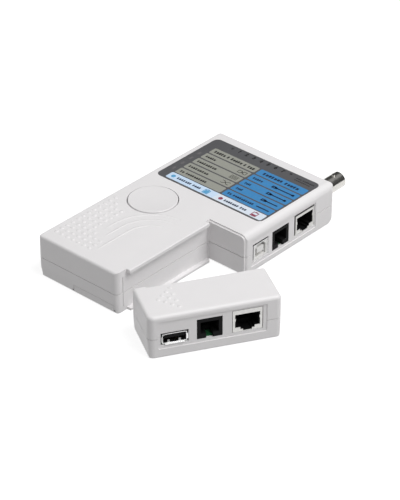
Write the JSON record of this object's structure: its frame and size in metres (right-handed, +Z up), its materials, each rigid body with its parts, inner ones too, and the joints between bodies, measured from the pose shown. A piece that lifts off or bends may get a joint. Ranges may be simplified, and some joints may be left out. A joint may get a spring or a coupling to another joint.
{
  "type": "network cable tester",
  "caption": "Handheld network cable tester with printed label, round test button, modular, USB and coaxial sockets, and a detachable remote unit.",
  "frame": {"origin": "on the master unit's underside, within a millimetre of its centre, on the table", "axes": "+Z up from the table, +Y from the handle end to the coaxial socket's end, +X towards the side with the network sockets"},
  "size_m": [0.1352, 0.1871, 0.0261],
  "materials": {
    "case_plastic": "matte",
    "remote_plastic": "matte",
    "button_plastic": "satin",
    "label": "satin",
    "plunger_plastic": "satin",
    "switch_base": "matte",
    "board": "satin",
    "lamp": "gloss",
    "black_plastic": "satin",
    "chip": "matte",
    "gold_contact": "gloss",
    "usb_metal": "satin",
    "white_insert": "satin",
    "jack_shield": "satin",
    "phone_jack_plastic": "satin",
    "nickel": "gloss",
    "insulator": "satin",
    "tinned_wire": "satin",
    "battery_can": "satin",
    "battery_terminal": "gloss",
    "red_insulation": "satin",
    "screw_steel": "satin",
    "resistor_coating": "satin"
  },
  "bodies": {
    "tester": {"top_shell": "case_plastic", "bottom_shell": "case_plastic", "label_film": "label", "test_switch": "switch_base", "main_board": "board", "lamp_board": "board", "indicator_lamps": "lamp", "board_header": "black_plastic", "header_pins": "gold_contact", "logic_chips": "chip", "usb_shell": "usb_metal", "usb_insert": "white_insert", "usb_contacts": "gold_contact", "phone_jack": "phone_jack_plastic", "phone_contacts": "gold_contact", "network_shield": "jack_shield", "network_jack": "black_plastic", "network_contacts": "gold_contact", "coax_barrel": "nickel", "coax_insulator": "insulator", "coax_contact": "gold_contact", "coax_washer": "nickel", "coax_nut": "nickel", "coax_lead": "tinned_wire", "battery": "battery_can", "battery_terminals": "battery_terminal", "battery_snap": "black_plastic", "battery_lead_red": "red_insulation", "battery_lead_black": "black_plastic", "case_screws": "screw_steel", "board_screws": "screw_steel"},
    "button": {"test_button": "button_plastic", "switch_plunger": "plunger_plastic"},
    "battery_door": {"battery_cover": "case_plastic"},
    "remote": {"remote_top_shell": "remote_plastic", "remote_bottom_shell": "remote_plastic", "remote_board": "board", "remote_resistors": "resistor_coating", "remote_case_screws": "screw_steel", "remote_usb_shell": "usb_metal", "remote_usb_tongue": "black_plastic", "remote_usb_contacts": "gold_contact", "remote_phone_jack": "phone_jack_plastic", "remote_phone_contacts": "gold_contact", "remote_network_shield": "jack_shield", "remote_network_jack": "black_plastic", "remote_network_contacts": "gold_contact"}
  },
  "joints": [
    {"name": "button_press", "type": "slide", "parent": "tester", "child": "button", "axis": [0, 0, -1], "range_m": [0, 0.0008], "stiffness_N_per_m": 1500, "springref_m": -0.0005},
    {"name": "battery_cover_slide", "type": "slide", "parent": "tester", "child": "battery_door", "axis": [0, -1, 0], "range_m": [0, 0.058]},
    {"name": "remote_dock", "type": "hinge", "parent": "tester", "child": "remote", "pos_m": [0.0174, -0.1018, 0], "axis": [0, 0, 1], "range_deg": [0, 31]}
  ]
}
